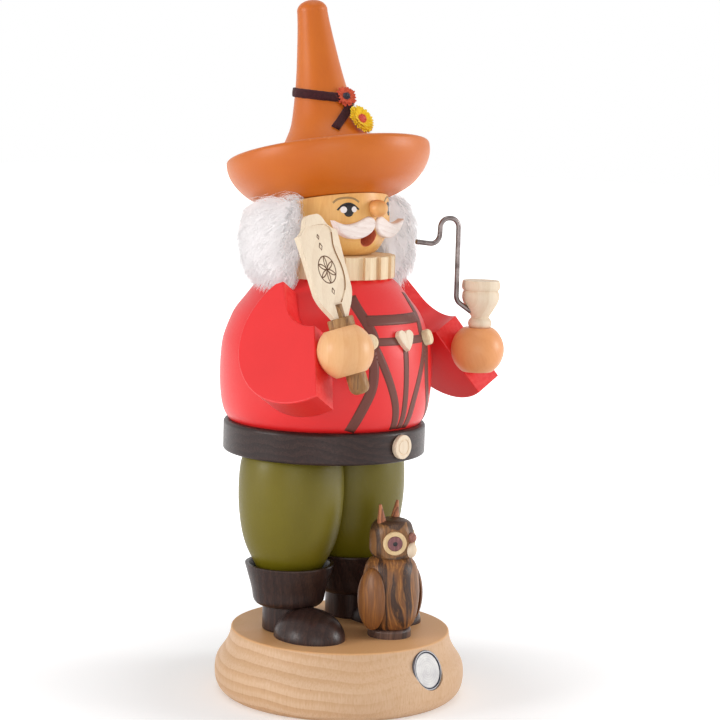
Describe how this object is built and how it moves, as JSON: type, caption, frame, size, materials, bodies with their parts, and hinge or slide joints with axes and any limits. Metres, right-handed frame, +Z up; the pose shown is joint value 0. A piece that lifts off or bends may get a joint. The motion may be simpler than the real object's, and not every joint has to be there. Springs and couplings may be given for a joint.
{
  "type": "incense smoker figure",
  "caption": "Turned wooden incense smoker: a stout pipe smoker in a tall hat, who lifts off to set a cone on the tray inside, on a round base with a small owl.",
  "frame": {"origin": "centre of the base's underside", "axes": "+Z up; the figure faces -Y, so its right hand is at -X"},
  "size_m": [0.1172, 0.1008, 0.2662],
  "materials": {
    "beech": "natural turned beech, matt",
    "maple": "pale natural maple, matt",
    "walnut_stain": "dark stained wood, satin",
    "walnut": "natural walnut, matt",
    "red_paint": "red painted wood, satin",
    "olive_paint": "olive green painted wood, satin",
    "honey_wood": "honey coloured wood, satin, with a painted face",
    "hand_wood": "clear lacquered wood, satin",
    "hat_stain": "orange-brown stained wood, satin",
    "white_wood": "whitened wood, matt",
    "zebrano": "striped wood, satin",
    "purple_wood": "purple-brown wood, satin",
    "red_wood": "red-brown wood, satin",
    "fur": "long white fur",
    "suede": "dark brown suede",
    "orange_felt": "orange-red fabric petals",
    "yellow_felt": "yellow fabric petals",
    "flower_heart": "dark fuzzy flower centre",
    "pink_heart": "pink fuzzy flower centre",
    "steel_wire": "drawn steel wire",
    "tinplate": "pressed tinplate",
    "badge_metal": "bare metal, slightly dulled"
  },
  "bodies": {
    "stand": {"badge_disc": "badge_metal", "base": "beech", "belt": "walnut_stain", "buckle": "maple", "incense_tray": "tinplate", "left_boot": "walnut_stain", "left_hip_dowel": "beech", "left_leg": "olive_paint", "left_leg_dowel": "beech", "left_owl_ear": "red_wood", "left_owl_eye": "maple", "left_owl_iris": "purple_wood", "left_owl_wing": "zebrano", "left_toe": "walnut_stain", "owl_beak": "maple", "owl_body": "zebrano", "owl_cere": "purple_wood", "owl_dowel": "beech", "owl_foot": "zebrano", "owl_head": "zebrano", "right_boot": "walnut_stain", "right_hip_dowel": "beech", "right_leg": "olive_paint", "right_leg_dowel": "beech", "right_owl_ear": "red_wood", "right_owl_eye": "maple", "right_owl_iris": "purple_wood", "right_owl_wing": "zebrano", "right_toe": "walnut_stain", "tray_nail": "steel_wire"},
    "figure": {"body": "red_paint", "collar": "maple", "hair": "fur", "hat": "hat_stain", "hat_band": "suede", "hat_dowel": "beech", "head": "honey_wood", "heart": "maple", "left_arm": "red_paint", "left_brace_button": "maple", "left_hand": "hand_wood", "left_moustache": "white_wood", "left_shoulder_dowel": "beech", "left_wrist_dowel": "beech", "nose": "honey_wood", "orange_flower": "orange_felt", "orange_flower_button": "flower_heart", "paddle_board": "maple", "paddle_handle": "walnut", "pipe_bowl": "maple", "pipe_stem": "steel_wire", "right_arm": "red_paint", "right_brace_button": "maple", "right_hand": "hand_wood", "right_moustache": "white_wood", "right_shoulder_dowel": "beech", "right_wrist_dowel": "beech", "yellow_flower": "yellow_felt", "yellow_flower_button": "pink_heart"}
  },
  "joints": [
    {"name": "figure_lift", "type": "slide", "parent": "stand", "child": "figure", "axis": [0, 0, 1], "range_m": [0, 0.06]}
  ]
}
